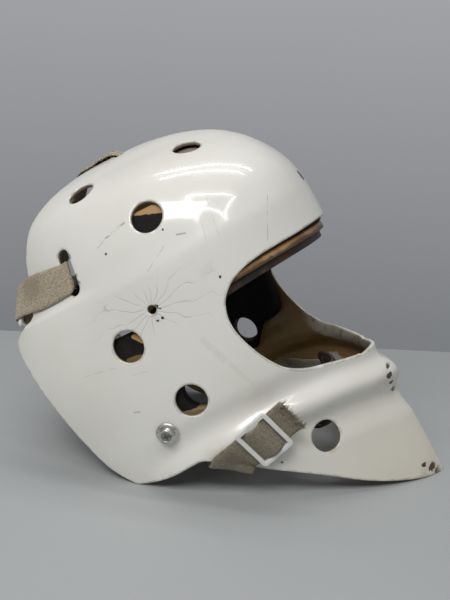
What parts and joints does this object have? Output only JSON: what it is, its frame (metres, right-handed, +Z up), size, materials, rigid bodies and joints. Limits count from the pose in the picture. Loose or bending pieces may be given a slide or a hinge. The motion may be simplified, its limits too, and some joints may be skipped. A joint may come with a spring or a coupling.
{
  "type": "hockey goalie mask",
  "caption": "Moulded goalie mask shell with vents, foam and leather pads, chin cup, woven straps with plastic buckles, snap studs and a rear plate, its wire cage removed.",
  "frame": {"origin": "On the surface the mask rests on, under the middle of its bounding box.", "axes": "+X the wearer's front, +Y the wearer's left, +Z up, with the mask leaned back 30 degrees on its two rear jaw corners and its chin tip, as it lies in the picture."},
  "size_m": [0.3232, 0.2158, 0.2458],
  "materials": {
    "shell_paint": "glossy off-white paint over laminate",
    "webbing": "worn woven webbing",
    "white_plastic": "satin off-white plastic",
    "tan_leather": "worn tan leather",
    "brown_leather": "worn brown leather",
    "steel": "dull nickel plate",
    "foam": "black closed-cell foam"
  },
  "bodies": {
    "mask": {"shell": "shell_paint", "forehead_pad": "foam", "sweatband": "tan_leather", "sweatband_liner": "brown_leather", "crown_pad": "foam", "temple_pad_left": "foam", "temple_pad_right": "foam", "jaw_pad_left": "foam", "jaw_pad_right": "foam", "chin_strap_left": "webbing", "chin_strap_right": "webbing", "side_strap_left": "webbing", "side_strap_right": "webbing", "top_strap": "webbing", "snap_stud_left": "steel", "snap_stud_right": "steel", "snap_screw_left": "steel", "snap_screw_right": "steel", "snap_nut_left": "steel", "snap_nut_right": "steel", "forehead_tnut": "steel"},
    "back": {"back_plate": "white_plastic", "back_pad": "foam", "top_buckle": "white_plastic", "side_buckle_left": "white_plastic", "side_buckle_right": "white_plastic"},
    "left_buckle": {"chin_buckle_left": "white_plastic"},
    "right_buckle": {"chin_buckle_right": "white_plastic"},
    "chin": {"chin_cup": "brown_leather"}
  },
  "joints": [
    {"name": "back_swing", "type": "hinge", "parent": "mask", "child": "back", "pos_m": [-0.13081, 0, 0.20816], "axis": [0, 1, 0], "range_deg": [0, 12], "deforming": ["side_strap_left", "side_strap_right", "top_strap"]},
    {"name": "left_buckle_slide", "type": "slide", "parent": "mask", "child": "left_buckle", "axis": [0.6797, -0.1802, 0.711], "range_m": [-0.004, 0.004], "deforming": ["chin_strap_left"]},
    {"name": "right_buckle_slide", "type": "slide", "parent": "mask", "child": "right_buckle", "axis": [0.6797, 0.1802, 0.711], "range_m": [-0.004, 0.004], "deforming": ["chin_strap_right"]},
    {"name": "chin_cup_swing", "type": "hinge", "parent": "mask", "child": "chin", "pos_m": [0.01415, 0, 0.02558], "axis": [0, 1, 0], "range_deg": [-10, 10], "deforming": ["chin_strap_left", "chin_strap_right"]}
  ]
}
